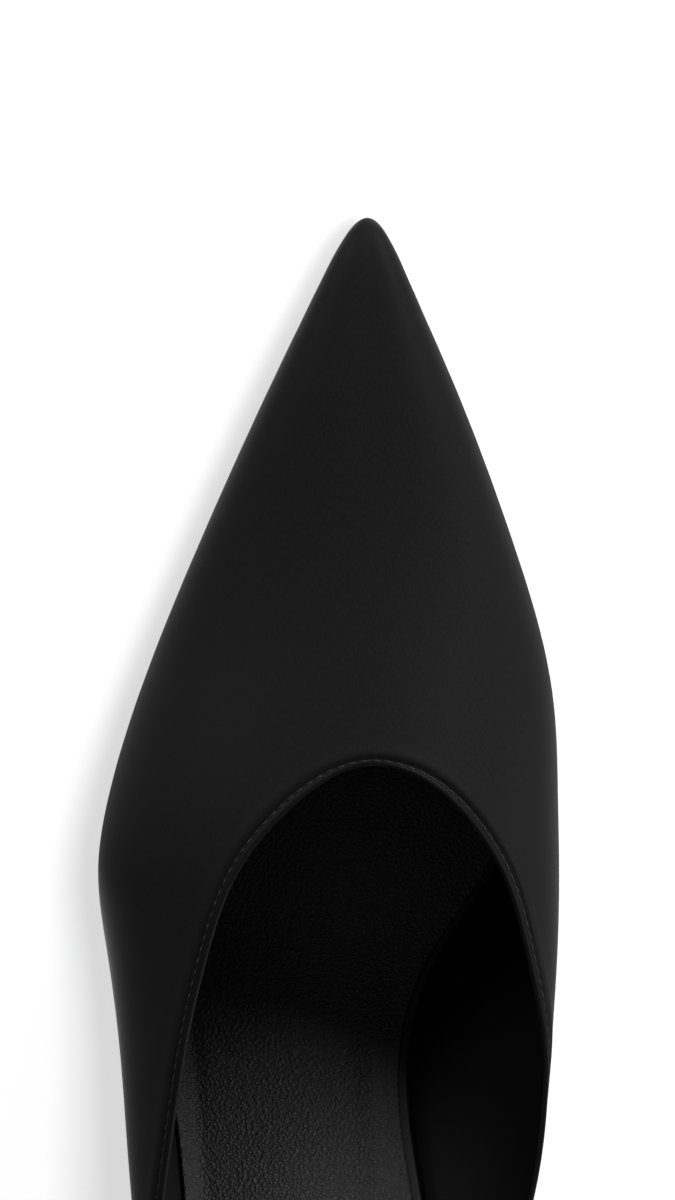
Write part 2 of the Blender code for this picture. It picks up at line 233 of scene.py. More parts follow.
def lay_tube(name, rings, threads=None, slots=None):
    """Closed piece through rings of points: a grid is bent round, its seam merged and its ends filled.

    Threads are each corner's places across and along the weave, and slots the materials of the columns.
    """
    count, around = rings.shape[:2]
    bpy.ops.object.select_all(action="DESELECT")
    bpy.ops.mesh.primitive_grid_add(x_subdivisions=around, y_subdivisions=count - 1, size=1.0)
    piece = bpy.context.object
    piece.name = name
    mesh = piece.data
    mesh.name = name
    corners = np.zeros(len(mesh.vertices) * 3, np.float32)
    mesh.vertices.foreach_get("co", corners)
    shares = corners.reshape(-1, 3) + 0.5
    row = np.rint(shares[:, 1] * (count - 1)).astype(int)
    column = np.rint(shares[:, 0] * around).astype(int)
    mesh.vertices.foreach_set("co", rings[row, column % around].astype(np.float32).ravel())
    used = np.zeros(len(mesh.loops), np.int32)
    mesh.loops.foreach_get("vertex_index", used)
    mesh.uv_layers[0].name = "threads"
    if threads is not None:
        mesh.uv_layers[0].data.foreach_set("uv", threads[row, column][used].astype(np.float32).ravel())
    if slots is not None:
        face_column = column[used].reshape(-1, 4).min(axis=1)
        mesh.polygons.foreach_set("material_index", np.asarray(slots, np.int32)[face_column])
    bpy.ops.object.mode_set(mode="EDIT")
    bpy.ops.mesh.select_all(action="SELECT")
    bpy.ops.mesh.remove_doubles(threshold=MERGE_DISTANCE * MM)
    bpy.ops.mesh.select_all(action="SELECT")
    bpy.ops.mesh.fill_holes(sides=0)
    bpy.ops.mesh.select_all(action="SELECT")
    bpy.ops.mesh.normals_make_consistent(inside=False)
    bpy.ops.object.mode_set(mode="OBJECT")
    bpy.ops.object.shade_smooth_by_angle(angle=math.radians(SMOOTH_ANGLE))
    return piece


def linear(colour):
    """Linear red, green, blue and alpha of an sRGB hex colour."""
    parts = [int(colour[at:at + 2], 16) / 255.0 for at in (1, 3, 5)]
    return [part / 12.92 if part <= 0.04045 else ((part + 0.055) / 1.055) ** 2.4 for part in parts] + [1.0]


def add_node(tree, kind, inputs=(), **settings):
    """One node of a material: settings are its own choices, inputs are values or other nodes' outputs."""
    made = tree.nodes.new("ShaderNode" + kind)
    for name, value in settings.items():
        setattr(made, name, value)
    for name, value in dict(inputs).items():
        if isinstance(value, bpy.types.NodeSocket):
            tree.links.new(value, made.inputs[name])
        else:
            made.inputs[name].default_value = value
    return made


def new_material(name):
    """Empty material with its shader, and the tree that its nodes go in."""
    material = bpy.data.materials.new(name)
    material.use_nodes = True
    return material, material.node_tree, material.node_tree.nodes["Principled BSDF"]


def noise_of(tree, place, width, detail):
    """Noise node whose grains have a real width in millimetres, for a place on the object in metres."""
    return add_node(tree, "TexNoise", {"Vector": place, "Scale": 1.0 / (width * MM), "Detail": detail})


def colour_between(tree, shader, share, colours):
    """Base colour that goes from the first of two sRGB colours to the second with a share."""
    ends = {0: share, 6: linear(colours[0]), 7: linear(colours[1])}
    shade = add_node(tree, "Mix", ends, data_type="RGBA")
    tree.links.new(shade.outputs[2], shader.inputs["Base Color"])


def raise_grain(tree, shader, height, strength, depth):
    """Bump from a pattern's height, with a depth in millimetres."""
    relief = add_node(tree, "Bump", {"Height": height, "Strength": strength, "Distance": depth * MM})
    tree.links.new(relief.outputs["Normal"], shader.inputs["Normal"])


# Smooth split leather, dyed black and pressed: an even half-matt face with a faint fine tooth.
COVER_TOOTH = 0.35
COVER_COLOURS = ("#0c0c0c", "#111111")
cover_leather, tree, shader = new_material("smooth_black_leather")
place = add_node(tree, "TexCoord").outputs["Object"]
tooth = noise_of(tree, place, COVER_TOOTH, detail=3.0).outputs["Fac"]
colour_between(tree, shader, tooth, COVER_COLOURS)
raise_grain(tree, shader, tooth, strength=0.15, depth=0.05)
shader.inputs["Roughness"].default_value = 0.5
shader.inputs["Specular IOR Level"].default_value = 0.2

station = stations_between(INSOLE_FRONT, station_at(math.pi - HEEL_END_ANGLE), INSOLE_RINGS)
left, right = insole_edges(station)
base = base_height(station)
insole = lay_tube("insole_cover", plate_rings(
    station, left, right, base, base + INSOLE_THICKNESS, INSOLE_ROUND, INSOLE_LOW_ROUND, INSOLE_ACROSS))
insole.data.materials.append(cover_leather)
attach(insole, "root")
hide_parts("insole")


# Upper: one shell of black satin bonded to a thin leather lining, lasted over the foot's form. Its top
# edge is folded over a cord and stitched down, which makes a small roll with a groove outside it.
INSTEP_HEIGHT = 43.0
WIDEST_SHARE = 0.7
TOE_SQUARE = 1.4
TOE_SQUARE_FULL = 6.0
TOE_SQUARE_END = 80.0
UPPER_RIBS = 360
RIB_SAMPLES = 801
TOP_SAMPLES = 12
SECTION_TRIES = 4001
ARC_SAMPLES = 33
SLOPE_STEP = 1e-3
LEAST_LENGTH = 1e-9
EDGE_ZONE = 6.0
EDGE_ZONE_MOST = 0.6
EVENED_RIBS = 12
LEAST_SLANT = 0.55
ROLL_RADIUS = 0.5
FACE_END = 0.9 * ROLL_RADIUS
SEAM_FROM_EDGE = 1.45
SEAM_FROM_EDGE_AT_THROAT = 0.8
THROAT_SEAM_START = 0.72
THROAT_SEAM_FULL = 0.97
GROOVE_DEPTH = 0.5
GROOVE_WIDTH = 0.5
GROOVE_FROM_SEAM = 0.3
PUFF_HEIGHT = 0.12
PUFF_FROM_SEAM = 1.5
PUFF_WIDTH = 0.9
SEAM_STEPS = (4.2, 3.0, 2.2, 1.6, 1.2, 0.9, 0.65, 0.45, 0.3, 0.15, 0.0, -0.15, -0.3)
FACE_BANDS = 30
LINING_BANDS = 22
ROLL_STEPS = 9
FOLD_ON_FACE = 3
LINING_ON_ROLL = 2
LINING_STEPS = (0.0, 0.6, 1.4, 2.6)
LINING_GAP = 0.25
LINING_TURN = 6.0
LINING_LEAN = 0.75
LINING_SOFT = 0.3
LINING_IN_START = 118.0
LINING_IN_FULL = 128.0
LINING_IN_FADE = 176.0
LINING_IN_END = 198.0
TIGHT_START = 20.0
TIGHT_FULL = 40.0
TOE_WALL_SHARE = 0.45
TOE_WALL_LENGTH = 14.0
WING_CROWDING = 1.15
TOE_CROWDING = 2.0

LastRow = namedtuple("LastRow", "station lateral medial ridge lateral_up medial_up")
LAST_ROWS = (
    LastRow(0.0, 17.1, 17.1, 27.2, 42.0, 42.0),
    LastRow(1.75, 5.5, 27.5, 38.0, 40.0, 40.0),
    LastRow(6.0, -8.0, 39.4, 46.3, 35.0, 35.0),
    LastRow(13.0, -28.8, 58.1, 56.0, 34.0, 34.0),
    LastRow(23.5, -57.9, 81.9, 69.8, 36.0, 36.0),
    LastRow(34.0, -83.5, 98.0, 89.8, 37.0, 38.0),
    LastRow(41.0, -96.0, 99.8, 104.6, 39.0, 41.0),
    LastRow(46.0, -100.0, 100.0, 112.8, 40.0, 47.0),
    LastRow(51.5, -96.0, 98.8, 121.4, 39.0, 56.0),
    LastRow(58.5, -90.0, 95.2, 131.4, 37.5, 69.0),
    LastRow(65.5, -86.2, 90.9, 138.4, 33.5, 66.0),
    LastRow(69.0, -84.1, 86.5, 141.9, 32.0, 61.5),
    LastRow(75.0, -79.5, 76.8, 144.2, 28.0, 50.0),
    LastRow(82.7, -65.5, 62.0, 144.2, 18.0, 20.0),
)
ToplineRow = namedtuple("ToplineRow", "station lateral lateral_height medial medial_height")
TOPLINE_ROWS = (
    ToplineRow(38.3, 19.3, 100.0, 19.3, 100.0),
    ToplineRow(40.1, -7.6, 101.2, 47.9, 99.9),
    ToplineRow(42.0, -20.8, 102.3, 60.2, 99.4),
    ToplineRow(44.0, -31.8, 103.6, 69.9, 98.9),
    ToplineRow(46.4, -41.3, 105.0, 78.7, 98.7),
    ToplineRow(51.6, -53.3, 108.4, 88.3, 100.7),
    ToplineRow(56.0, -60.7, 110.7, 92.8, 103.7),
    ToplineRow(61.0, -66.5, 112.8, 94.4, 107.0),
    ToplineRow(69.0, -72.5, 115.7, 86.5, 112.6),
    ToplineRow(75.0, -72.5, 116.7, 76.8, 115.3),
    ToplineRow(82.7, -65.0, 112.3, 61.5, 112.3),
)
THROAT = TOPLINE_ROWS[0].station / 100.0 * SHOE_LENGTH
WING_TIP = TOPLINE_ROWS[-1].station / 100.0 * SHOE_LENGTH
TIP_ACROSS = LAST_ROWS[0].lateral / 100.0 * HALF_BALL
THROAT_ACROSS = TOPLINE_ROWS[0].lateral / 100.0 * HALF_BALL

widest_lateral = table_curve(LAST_ROWS, "lateral", HALF_BALL)
widest_medial = table_curve(LAST_ROWS, "medial", HALF_BALL)
lateral_up = table_curve(LAST_ROWS, "lateral_up", 1.0)
medial_up = table_curve(LAST_ROWS, "medial_up", 1.0)
ridge_height = table_curve(LAST_ROWS, "ridge", INSTEP_HEIGHT)


def topline_curve(column, whole):
    """One column of the topline, which leaves the throat like a root and so turns round there."""
    roots = [math.sqrt(row.station / 100.0 * SHOE_LENGTH - THROAT) for row in TOPLINE_ROWS]
    along = cubic(roots, [getattr(row, column) / 100.0 * whole for row in TOPLINE_ROWS])
    return lambda station: along(np.sqrt(np.maximum(0.0, station - THROAT)))


def ridge_across(station):
    return TIP_ACROSS + (THROAT_ACROSS - TIP_ACROSS) * station / THROAT


def last_section(station, medial, share):
    """Place across and height on the last: share runs from 0 at its ridge to 1 at the feather edge."""
    base = base_height(station)
    ridge = ridge_height(station)
    middle = ridge_across(station)
    wide = np.where(medial, widest_medial(station), widest_lateral(station))
    edge = np.where(medial, feather_medial(station), feather_lateral(station))
    wide_height = base + np.where(medial, medial_up(station), lateral_up(station)) * (ridge - base)
    angle = np.minimum(share / WIDEST_SHARE, 1.0) * math.pi / 2.0
    down = np.maximum(0.0, share - WIDEST_SHARE) / (1.0 - WIDEST_SHARE)
    square = 2.0 + TOE_SQUARE * (1.0 - smooth_step(station, TOE_SQUARE_FULL, TOE_SQUARE_END))
    arch = (1.0 - np.sin(angle) ** square) ** (1.0 / square)
    across = middle + (wide - middle) * np.sin(angle) - (wide - edge) * down * down
    height = wide_height + (ridge - wide_height) * arch - (wide_height - base) * down
    return across, height


def half_width(station, medial):
    wide = np.where(medial, widest_medial(station), widest_lateral(station))
    return np.abs(wide - ridge_across(station))


def topline_share(station, medial):
    """Share at which each section of the last comes closest to the drawn topline."""
    lateral_across = topline_curve("lateral", HALF_BALL)(station)
    medial_across = topline_curve("medial", HALF_BALL)(station)
    lateral_height = topline_curve("lateral_height", INSTEP_HEIGHT)(station)
    medial_height = topline_curve("medial_height", INSTEP_HEIGHT)(station)
    across = np.where(medial, medial_across, lateral_across)
    height = np.where(medial, medial_height, lateral_height)
    tries = np.linspace(0.0, 1.0, SECTION_TRIES)[None, :]
    found = last_section(station, medial, tries)
    miss = (found[0] - across) ** 2 + (found[1] - height) ** 2
    best = tries[0, np.argmin(miss, axis=1)][:, None]
    return np.where(station <= THROAT, 0.0, best)


# Ribs run up the shell from the feather edge to the topline, from one wing tip round the toe to the other.
rib = np.arange(UPPER_RIBS + 1)[:, None]
toward = 1.0 - np.abs(2.0 * rib / UPPER_RIBS - 1.0)
medial = 2 * rib > UPPER_RIBS
foot = WING_TIP * (1.0 - np.sin(toward * math.pi / 2.0))
head = THROAT + (WING_TIP - THROAT) * (1.0 - toward) ** 2
foot_out = half_width(foot, medial)
head_out = half_width(head, medial) * topline_share(head, medial)
crowding = WING_CROWDING + (TOE_CROWDING - WING_CROWDING) * toward ** 4


def on_rib(up):
    """Station and share of the last at the given ways up the ribs."""
    along = up ** crowding
    station = foot + (head - foot) * along
    out = foot_out + (head_out - foot_out) * along
    widest = np.maximum(LEAST_LENGTH, half_width(station, medial))
    share = np.where(up <= 0.0, 1.0, np.minimum(1.0, out / widest))
    return station, share


def rib_points(up):
    """Points of the last's face at the given ways up the ribs, in millimetres."""
    station, share = on_rib(up)
    across, height = last_section(station, medial, share)
    return np.stack([across, SHOE_LENGTH / 2.0 - station, height], axis=2)


def lengths(vectors):
    return np.linalg.norm(vectors, axis=-1)


# Distances are measured square to the topline near it, and along the rib below.
ways = np.linspace(0.0, 1.0, RIB_SAMPLES)[None, :] + np.zeros_like(toward)
dense = rib_points(ways)
steps_up = lengths(np.diff(dense, axis=1))
from_top = np.concatenate([np.cumsum(steps_up[:, ::-1], axis=1)[:, ::-1], np.zeros_like(toward)], axis=1)
rib_length = from_top[:, :1]
top_along = np.gradient(dense[:, -1], axis=0)
top_along /= lengths(top_along)[:, None]
top_down = dense[:, -TOP_SAMPLES] - dense[:, -1]
top_down /= lengths(top_down)[:, None]
slant = np.maximum(LEAST_SLANT, lengths(np.cross(top_along, top_down)))
evening = np.hanning(2 * EVENED_RIBS + 3)[1:-1]
slant = np.convolve(np.pad(slant, EVENED_RIBS, mode="edge"), evening / evening.sum(), mode="valid")[:, None]
zone = np.minimum(EDGE_ZONE / slant, EDGE_ZONE_MOST * rib_length)
shrink = zone * slant / EDGE_ZONE
at_throat = smooth_step(toward, THROAT_SEAM_START, THROAT_SEAM_FULL)
seam = SEAM_FROM_EDGE + (SEAM_FROM_EDGE_AT_THROAT - SEAM_FROM_EDGE) * at_throat


def ways_at(distance):
    """Ways up the ribs that lie at distances from the topline, in millimetres along each rib."""
    found = [np.interp(distance[at], from_top[at, ::-1], ways[at, ::-1]) for at in range(len(distance))]
    return np.array(found)


def edge_ways(square):
    """Ways up the ribs at distances measured square to the topline, within its zone."""
    return ways_at(square / EDGE_ZONE * zone)


def below_zone(bands):
    """Ways up the ribs from the feather edge to the topline's zone."""
    shares = np.linspace(1.0, 0.0, bands + 1)[None, :-1]
    return ways_at(zone + (rib_length - zone) * shares)


def outward(up):
    """Directions square to the last's face."""
    low = np.maximum(0.0, up - SLOPE_STEP)
    high = np.minimum(1.0, up + SLOPE_STEP)
    climb = rib_points(high) - rib_points(low)
    round_shoe = np.gradient(rib_points(up), axis=0)
    square = np.cross(climb, round_shoe)
    return square / np.maximum(LEAST_LENGTH, lengths(square))[:, :, None]


def seam_relief(square):
    """Groove that the stitches pull in and the soft swell outside it."""
    groove = -GROOVE_DEPTH * np.exp(-((square - seam - GROOVE_FROM_SEAM) / GROOVE_WIDTH) ** 2)
    puff = PUFF_HEIGHT * np.exp(-((square - seam - PUFF_FROM_SEAM) / PUFF_WIDTH) ** 2)
    return (groove + puff) * shrink


face_square = np.maximum(FACE_END, seam + np.array([SEAM_STEPS]))
face_ways = np.concatenate([
    below_zone(FACE_BANDS),
    edge_ways(np.full_like(toward, EDGE_ZONE)),
    edge_ways(face_square),
], axis=1)
face_out = np.concatenate([np.zeros((len(toward), FACE_BANDS + 1)), seam_relief(face_square)], axis=1)
roll_angle = np.linspace(0.0, math.pi, ROLL_STEPS + 2)[None, 1:-1] + np.zeros_like(toward)
roll_start = np.minimum(ROLL_RADIUS, face_square[:, -1:])
roll_square = roll_start * (1.0 - np.sin(roll_angle))
roll_ways = edge_ways(roll_square)
roll_out = -ROLL_RADIUS * wall_share(on_rib(roll_ways)[0]) * (1.0 - np.cos(roll_angle))
under_roll = np.array([LINING_STEPS])
lining_ways = np.concatenate([edge_ways(roll_start + under_roll), below_zone(LINING_BANDS)[:, ::-1]], axis=1)
full_wall = np.concatenate([smooth_step(under_roll, 0.0, EDGE_ZONE), np.ones((1, LINING_BANDS))], axis=1)
lining_station = on_rib(lining_ways)[0]
toe_wall = TOE_WALL_SHARE + (1.0 - TOE_WALL_SHARE) * smooth_step(lining_station, 0.0, TOE_WALL_LENGTH)
wall = 2.0 * ROLL_RADIUS + (UPPER_WALL - 2.0 * ROLL_RADIUS) * full_wall
lining_out = -wall * toe_wall * wall_share(lining_station)
all_ways = np.concatenate([face_ways, roll_ways, lining_ways], axis=1)
all_out = np.concatenate([face_out, roll_out, lining_out], axis=1)
shell = rib_points(all_ways) + outward(all_ways) * all_out[:, :, None]

# On the lateral side the lining turns in above the insole and comes down close beside the sock.
lining_part = shell[:, -lining_ways.shape[1]:]
over_base = lining_part[:, :, 2] - base_height(lining_station)
leaning = LINING_LEAN * np.maximum(0.0, over_base - LINING_TURN)
turned_in = insole_edges(lining_station)[0] - LINING_GAP - leaning
apart = lining_part[:, :, 0] - turned_in
filled = 0.5 * (np.sqrt(apart ** 2 + LINING_SOFT ** 2) - apart)
waist = smooth_step(lining_station, LINING_IN_START, LINING_IN_FULL)
waist = waist - smooth_step(lining_station, LINING_IN_FADE, LINING_IN_END)
lining_part[:, :, 0] += np.where(medial, 0.0, waist * full_wall * filled)

# The shell is lasted tight: behind the toe its lining comes down to the insole's edge and lies flat there.
foot_edges = insole_edges(foot)
lasted = np.concatenate([
    np.where(medial, foot_edges[1], foot_edges[0]),
    SHOE_LENGTH / 2.0 - foot,
    base_height(foot),
], axis=1)
lining_part[:, -1] += smooth_step(foot, TIGHT_START, TIGHT_FULL) * (lasted - lining_part[:, -1])


def section_arc(station, share):
    """Length of the last's section from its ridge to a share of it."""
    parts = np.linspace(0.0, 1.0, ARC_SAMPLES)
    across, height = last_section(station[..., None], medial[..., None], share[..., None] * parts)
    return np.sum(np.hypot(np.diff(across), np.diff(height)), axis=-1)


weave_station, weave_share = on_rib(all_ways)
weave_across = section_arc(weave_station, weave_share) * np.where(medial, 1.0, -1.0)
threads = np.stack([weave_across, weave_station], axis=2)
threads = np.concatenate([threads, threads[:, :1]], axis=1)

# The shell's columns are satin outside, the edge turned over the cord in satin darkened as painted shade, and
# lining from there in.
SATIN_SLOT, LINING_SLOT, FOLD_SHADE_SLOT = range(3)
fold_start = face_ways.shape[1] - FOLD_ON_FACE
fold_end = face_ways.shape[1] + ROLL_STEPS - LINING_ON_ROLL
columns = np.full(all_ways.shape[1], LINING_SLOT)
columns[:fold_start] = SATIN_SLOT
columns[fold_start:fold_end] = FOLD_SHADE_SLOT
upper = lay_tube("upper_shell", shell * MM, threads, columns)

# Five-shaft satin of black filament yarn: long floats side by side give a smooth low lustre, and the
# tie points between them a fine speckle. The yarns are drawn about three times too coarse, so they show.
YARN_SPACING = 0.2
TIE_SPACING = YARN_SPACING * math.sqrt(5.0)
FLOAT_LENGTH = 0.9
FLOAT_WIDTH = 0.3
TIE_SLOPE = 0.5
TIE_SHARE = 0.35
SATIN_COLOURS = ("#101010", "#202020")
satin, tree, shader = new_material("black_satin")
place = add_node(tree, "UVMap", uv_map="threads").outputs["UV"]
turned = add_node(tree, "Mapping", {
    "Vector": place,
    "Rotation": (0.0, 0.0, math.atan(TIE_SLOPE)),
    "Scale": (2.0 * math.pi / TIE_SPACING, 2.0 * math.pi / TIE_SPACING, 1.0),
})
parts = add_node(tree, "SeparateXYZ", {"Vector": turned.outputs["Vector"]})
ties_across = add_node(tree, "Math", {0: parts.outputs["X"]}, operation="SINE")
ties_along = add_node(tree, "Math", {0: parts.outputs["Y"]}, operation="SINE")
ties = add_node(tree, "Math", {0: ties_across.outputs[0], 1: ties_along.outputs[0]}, operation="MULTIPLY")
stretched = add_node(tree, "Mapping", {
    "Vector": place,
    "Scale": (1.0 / FLOAT_WIDTH, 1.0 / FLOAT_LENGTH, 1.0),
})
floats = add_node(tree, "TexNoise", {"Vector": stretched.outputs["Vector"], "Scale": 1.0, "Detail": 2.0})
woven = {0: ties.outputs[0], 1: TIE_SHARE, 2: floats.outputs["Fac"]}
weave = add_node(tree, "Math", woven, operation="MULTIPLY_ADD").outputs[0]
lustre = add_node(tree, "MapRange", {
    "Value": weave,
    "From Min": 0.1,
    "From Max": 0.9,
    "To Min": 0.44,
    "To Max": 0.56,
})
colour_between(tree, shader, floats.outputs["Fac"], SATIN_COLOURS)
tree.links.new(lustre.outputs[0], shader.inputs["Roughness"])
raise_grain(tree, shader, weave, strength=0.2, depth=0.06)
shader.inputs["Specular IOR Level"].default_value = 0.06
shader.inputs["Sheen Weight"].default_value = 0.34
shader.inputs["Sheen Roughness"].default_value = 0.4

# Thin black lining leather, buffed on its face: nearly matt, with a fine tight grain.
LINING_GRAIN = 0.5
LINING_COLOURS = ("#0a0a0a", "#0e0e0e")
lining, tree, shader = new_material("black_lining_leather")
place = add_node(tree, "TexCoord").outputs["Object"]
grain = noise_of(tree, place, LINING_GRAIN, detail=4.0).outputs["Fac"]
colour_between(tree, shader, grain, LINING_COLOURS)
raise_grain(tree, shader, grain, strength=0.25, depth=0.06)
shader.inputs["Roughness"].default_value = 0.55
shader.inputs["Specular IOR Level"].default_value = 0.15

# The satin's turned edge over the cord, seen along its bend: the same satin given a darker colour as painted
# shade, closer, with a narrow shine.
FOLD_SHADE_COLOURS = ("#0c0c0c", "#141414")
fold_shade, tree, shader = new_material("folded_satin_painted_shade")
place = add_node(tree, "UVMap", uv_map="threads").outputs["UV"]
ribbed = add_node(tree, "Mapping", {
    "Vector": place,
    "Scale": (1.0 / FLOAT_WIDTH, 1.0 / FLOAT_WIDTH, 1.0),
})
yarns = add_node(tree, "TexNoise", {"Vector": ribbed.outputs["Vector"], "Scale": 1.0, "Detail": 2.0})
# The darker colours are painted shade on the turned edge, not a different cloth.
colour_between(tree, shader, yarns.outputs["Fac"], FOLD_SHADE_COLOURS)
raise_grain(tree, shader, yarns.outputs["Fac"], strength=0.15, depth=0.05)
shader.inputs["Roughness"].default_value = 0.5
shader.inputs["Specular IOR Level"].default_value = 0.1
shader.inputs["Sheen Weight"].default_value = 0.06
shader.inputs["Sheen Roughness"].default_value = 0.4

for material in (satin, lining, fold_shade):
    upper.data.materials.append(material)
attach(upper, "root")
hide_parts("upper")


# Topline stitches: one row of black polyester thread that holds the folded edge down, sewn in the groove.
# Each stitch is a short strand that dives into the cloth at both ends.
STITCH_PITCH = 2.05
STITCH_LENGTH = 1.4
THREAD_RADIUS = 0.19
STITCH_SINK = 0.1
STITCH_DIVE = 0.22
STITCH_SIDES = 8
STITCH_BODY = 0.5
STITCH_AIM = 0.5
END_FACING = 0.9
LEAST_RIB = 9.0
TaperStep = namedtuple("TaperStep", "push thin")
STITCH_TAPER = (TaperStep(0.15, 0.9), TaperStep(0.1, 0.55))
seam_ways = edge_ways(seam)
seam_out = outward(seam_ways)[:, 0]
seam_line = rib_points(seam_ways)[:, 0] + seam_out * (seam_relief(seam) + THREAD_RADIUS - STITCH_SINK)
sewn = rib_length[:, 0] > LEAST_RIB
seam_line = seam_line[sewn]
seam_out = seam_out[sewn]
seam_reach = np.concatenate([[0.0], np.cumsum(lengths(np.diff(seam_line, axis=0)))])


def along_seam(values, reach):
    """Values of the seam's points at a reach along it."""
    return np.array([np.interp(reach, seam_reach, values[:, axis]) for axis in range(3)])


bpy.ops.object.select_all(action="DESELECT")
bpy.ops.mesh.primitive_cylinder_add(
    vertices=STITCH_SIDES,
    radius=THREAD_RADIUS * MM,
    depth=STITCH_LENGTH * STITCH_BODY * MM,
    rotation=(0.0, math.pi / 2.0, 0.0),
)
stitch = bpy.context.object
bpy.ops.object.transform_apply(location=True, rotation=True, scale=True)
for way in (-1.0, 1.0):
    bpy.ops.object.mode_set(mode="EDIT")
    bpy.ops.mesh.select_mode(type="FACE")
    bpy.ops.mesh.select_all(action="DESELECT")
    bpy.ops.object.mode_set(mode="OBJECT")
    for face in stitch.data.polygons:
        face.select = face.normal.x * way > END_FACING
    bpy.ops.object.mode_set(mode="EDIT")
    for taper in STITCH_TAPER:
        pushed = (way * STITCH_LENGTH * taper.push * MM, 0.0, 0.0)
        bpy.ops.mesh.extrude_region_move(TRANSFORM_OT_translate={"value": pushed})
        bpy.ops.transform.resize(value=(1.0, taper.thin, taper.thin))
    bpy.ops.object.mode_set(mode="OBJECT")
for corner in stitch.data.vertices:
    corner.co.z -= STITCH_DIVE * MM * (abs(corner.co.x) / (STITCH_LENGTH / 2.0 * MM)) ** 3
bpy.ops.object.shade_smooth()
stitch_copies = []
for reach in np.arange(STITCH_PITCH, seam_reach[-1] - STITCH_PITCH, STITCH_PITCH):
    middle = along_seam(seam_line, reach)
    ahead = along_seam(seam_line, reach + STITCH_AIM) - middle
    up = along_seam(seam_out, reach)
    ahead /= np.linalg.norm(ahead)
    up -= ahead * np.dot(up, ahead)
    up /= np.linalg.norm(up)
    copy = stitch.copy()
    copy.data = stitch.data.copy()
    bpy.context.collection.objects.link(copy)
    corners = np.zeros(len(copy.data.vertices) * 3, np.float32)
    copy.data.vertices.foreach_get("co", corners)
    laid = corners.reshape(-1, 3) @ np.stack([ahead, np.cross(up, ahead), up]) + middle * MM
    copy.data.vertices.foreach_set("co", laid.astype(np.float32).ravel())
    stitch_copies.append(copy)
bpy.data.objects.remove(stitch)
bpy.ops.object.select_all(action="DESELECT")
for copy in stitch_copies:
    copy.select_set(True)
bpy.context.view_layer.objects.active = stitch_copies[0]
bpy.ops.object.join()
stitches = bpy.context.object
stitches.name = "topline_stitches"
stitches.data.name = "topline_stitches"

# Bonded polyester thread, black: a round twisted strand with a dull shine. The twist is drawn by its map.
TWISTS_PER_STITCH = 4.0
THREAD_COLOURS = ("#1a1a1b", "#2b2b2d")
thread, tree, shader = new_material("black_polyester_thread")
place = add_node(tree, "UVMap", uv_map="UVMap").outputs["UV"]
twisted = {"Vector": place, "Scale": TWISTS_PER_STITCH}
plies = add_node(tree, "TexWave", twisted, bands_direction="DIAGONAL").outputs["Fac"]
colour_between(tree, shader, plies, THREAD_COLOURS)
raise_grain(tree, shader, plies, strength=0.3, depth=0.04)
shader.inputs["Roughness"].default_value = 0.42
shader.inputs["Specular IOR Level"].default_value = 0.3
stitches.data.materials.append(thread)
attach(stitches, "root")


# Wedge heel: a light moulded core under the whole arch and heel, drawn over with the same satin, which is
# tucked in under the insole and over the outsole. Its sides are a little hollow and taper to the tread.
WEDGE_FRONT = 122.0
WEDGE_TAPER = 0.10
WEDGE_UNDERCUT = 8.0
WEDGE_HOLLOW = 1.2
WEDGE_HOLLOW_MOST = 0.125
WEDGE_SEAT = 0.05
WEDGE_ROUND = 0.5
WEDGE_ROUND_PARTS = 3.0
WEDGE_TUCK_WIDTH = 6.0
WEDGE_RINGS = 150
WEDGE_BANDS = 16
WEDGE_ACROSS = 10


def wedge_foot(station):
    """Where the sole's outline at a station comes down to on the outsole: station, lateral, medial."""
    lateral = feather_lateral(station)
    medial = feather_medial(station)
    behind = np.maximum(0.0, station - WEDGE_FRONT)
    middle = (lateral + medial) / 2.0
    narrow = 1.0 - WEDGE_TAPER * rise(station) / HEEL_RISE
    forward = WEDGE_UNDERCUT * (behind / (SHOE_LENGTH - WEDGE_FRONT)) ** 2
    return station - forward, middle + (lateral - middle) * narrow, middle + (medial - middle) * narrow


station = stations_between(WEDGE_FRONT, station_at(math.pi - HEEL_END_ANGLE), WEDGE_RINGS)
foot_station, low_lateral, low_medial = wedge_foot(station)
high_lateral = feather_lateral(station)
high_medial = feather_medial(station)
wedge_top = base_height(station) - WEDGE_SEAT
wedge_low = OUTSOLE_THICKNESS + SEAT_GAP - WEDGE_SEAT
across = np.linspace(0.0, 1.0, WEDGE_ACROSS + 1)[None, :]
down = np.linspace(0.0, 1.0, WEDGE_BANDS + 1)[None, :]
top_width = high_medial - high_lateral
hollow = np.minimum(WEDGE_HOLLOW * rise(station) / HEEL_RISE, WEDGE_HOLLOW_MOST * top_width)
sunk = hollow * np.sin(down * math.pi)
tall = wedge_top - wedge_low
wall_station = station + (foot_station - station) * down
wall_height = wedge_top - tall * down
soft = np.minimum(WEDGE_ROUND, tall / WEDGE_ROUND_PARTS)
near_edge = np.clip(1.0 - np.minimum(down, 1.0 - down) * tall / soft, 0.0, 1.0)
tuck = soft * (1.0 - np.sqrt(1.0 - near_edge ** 2)) * np.minimum(1.0, top_width / WEDGE_TUCK_WIDTH)
wall_lateral = high_lateral + (low_lateral - high_lateral) * down + sunk + tuck
wall_medial = high_medial + (low_medial - high_medial) * down - sunk - tuck
top_across = wall_lateral[:, :1] + (wall_medial[:, :1] - wall_lateral[:, :1]) * across
low_across = wall_medial[:, -1:] + (wall_lateral[:, -1:] - wall_medial[:, -1:]) * across
level = np.zeros_like(top_across)
places = (
    (top_across, station + level, wedge_top + level),
    (wall_medial[:, 1:], wall_station[:, 1:], wall_height[:, 1:]),
    (low_across[:, 1:], foot_station + level[:, 1:], wedge_low + level[:, 1:]),
    (wall_lateral[:, -2:0:-1], wall_station[:, -2:0:-1], wall_height[:, -2:0:-1]),
)
wide, along, high = (np.concatenate([place[axis] for place in places], axis=1) for axis in range(3))


